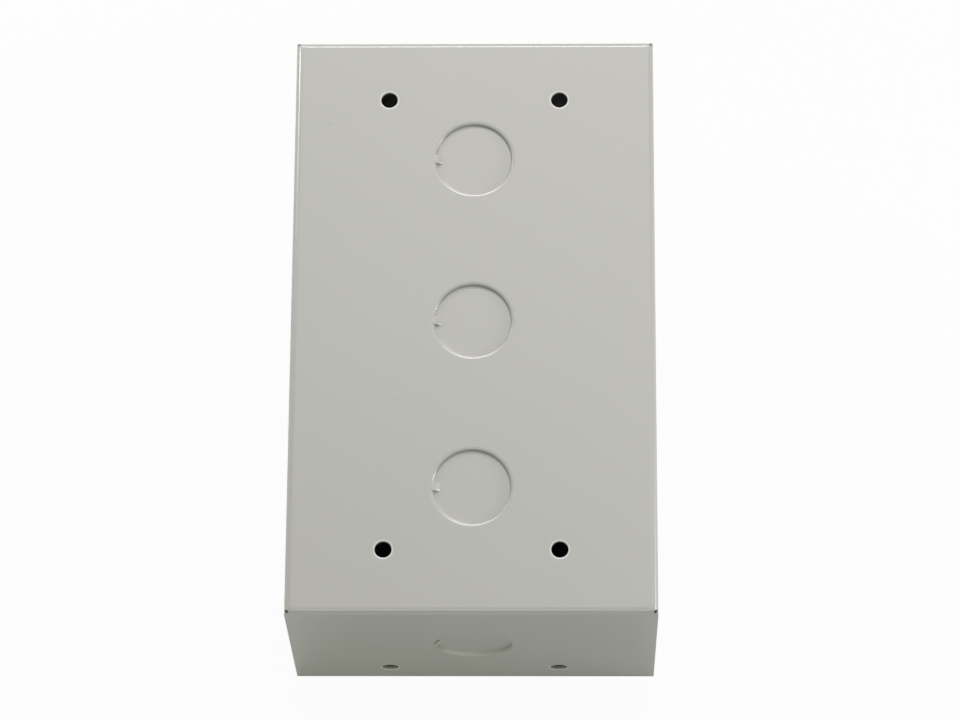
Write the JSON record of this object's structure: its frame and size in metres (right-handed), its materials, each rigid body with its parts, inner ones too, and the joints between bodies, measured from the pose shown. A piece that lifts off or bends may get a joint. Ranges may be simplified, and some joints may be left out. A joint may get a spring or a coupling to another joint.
{
  "type": "surface back box",
  "caption": "Folded steel surface back box, open at the front, with wall fixing holes, round cable knockouts in the back and ends, and cover screw holes.",
  "frame": {"origin": "middle of the open rim, which is the face that the box lies on", "axes": "+Z from the open front to the back plate, which is the side that goes against the wall; +Y along the box; +X across it"},
  "size_m": [0.098, 0.164, 0.06],
  "materials": {
    "painted_sheet": "warm light grey powder coat, semi-gloss"
  },
  "bodies": {
    "root": {"back_box": "painted_sheet"}
  },
  "joints": []
}
